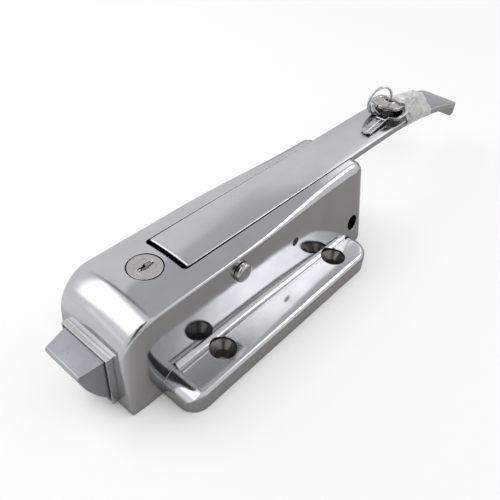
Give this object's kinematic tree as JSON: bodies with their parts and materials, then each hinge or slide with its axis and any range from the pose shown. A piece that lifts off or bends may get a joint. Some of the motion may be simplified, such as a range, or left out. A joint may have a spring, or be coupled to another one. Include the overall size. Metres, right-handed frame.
{
  "type": "walk-in cooler door latch",
  "caption": "Surface mounted cooler door latch: lever handle on a long flanged body, sprung ramp bolt, key lock and inside release.",
  "frame": {"origin": "middle of the four screw holes, on the face that lies on the door", "axes": "+X from the bolt's tip towards the handle's tip, +Z away from the door"},
  "size_m": [0.3366, 0.0908, 0.0717],
  "materials": {
    "chrome_casting": "polished chrome plate on a zinc die casting",
    "chrome_collar": "bright chrome plate",
    "zinc_plate": "zinc plated sheet steel",
    "screw_steel": "zinc plated steel",
    "nylon": "natural nylon",
    "bolt_zinc": "satin cast zinc alloy",
    "spring_steel": "drawn spring wire",
    "zinc_cast": "as cast zinc",
    "chrome_handle": "polished chrome plate",
    "pin_steel": "turned steel",
    "roller_steel": "hardened steel",
    "bumper_rubber": "black rubber",
    "lock_chrome": "satin chrome plate",
    "shutter_steel": "bright steel",
    "key_nickel": "nickel plated brass",
    "ring_steel": "nickel plated spring steel",
    "clear_tape": "crumpled clear tape"
  },
  "bodies": {
    "base": {"housing": "chrome_casting", "bolt_collar": "chrome_collar", "back_plate": "zinc_plate", "plate_screws": "screw_steel", "wear_strips": "nylon", "bolt_springs": "spring_steel", "spring_guides": "screw_steel", "spring_seat": "zinc_cast", "seat_pin": "screw_steel", "pivot_pin": "pin_steel", "pivot_clip": "pin_steel", "pivot_washers": "nylon", "handle_bumper": "bumper_rubber", "lock_barrel": "lock_chrome", "lock_nut": "screw_steel"},
    "handle": {"handle": "chrome_handle", "roller_pin": "roller_steel", "key_lower": "key_nickel", "key_upper": "key_nickel", "key_ring": "ring_steel", "key_tape": "clear_tape"},
    "roller": {"lug_roller": "roller_steel"},
    "bolt": {"bolt": "bolt_zinc"},
    "release": {"release_plunger": "nylon"},
    "lock_core": {"lock_plug": "lock_chrome", "lock_shutter": "shutter_steel", "lock_cam": "screw_steel", "cam_screw": "screw_steel"}
  },
  "joints": [
    {"name": "handle_pivot", "type": "hinge", "parent": "base", "child": "handle", "pos_m": [-0.02445, 0, 0.0413], "axis": [0, -1, 0], "range_deg": [0, 33]},
    {"name": "roller_spin", "type": "hinge", "parent": "handle", "child": "roller", "pos_m": [-0.03184, 0, 0.01637], "axis": [0, 1, 0], "continuous": true},
    {"name": "bolt_slide", "type": "slide", "parent": "base", "child": "bolt", "axis": [1, 0, 0], "range_m": [0, 0.01477], "deforming": ["bolt_springs"]},
    {"name": "release_slide", "type": "slide", "parent": "base", "child": "release", "axis": [0, 0, 1], "range_m": [0, 0.01523]},
    {"name": "lock_turn", "type": "hinge", "parent": "base", "child": "lock_core", "pos_m": [-0.06125, 0, 0.045], "axis": [0, 0, 1], "range_deg": [-90, 0]}
  ],
  "couplings": [
    {"joint": "bolt_slide", "follows": "handle_pivot", "m_per_rad": 0.025642},
    {"joint": "release_slide", "follows": "handle_pivot", "m_per_rad": 0.026449}
  ]
}
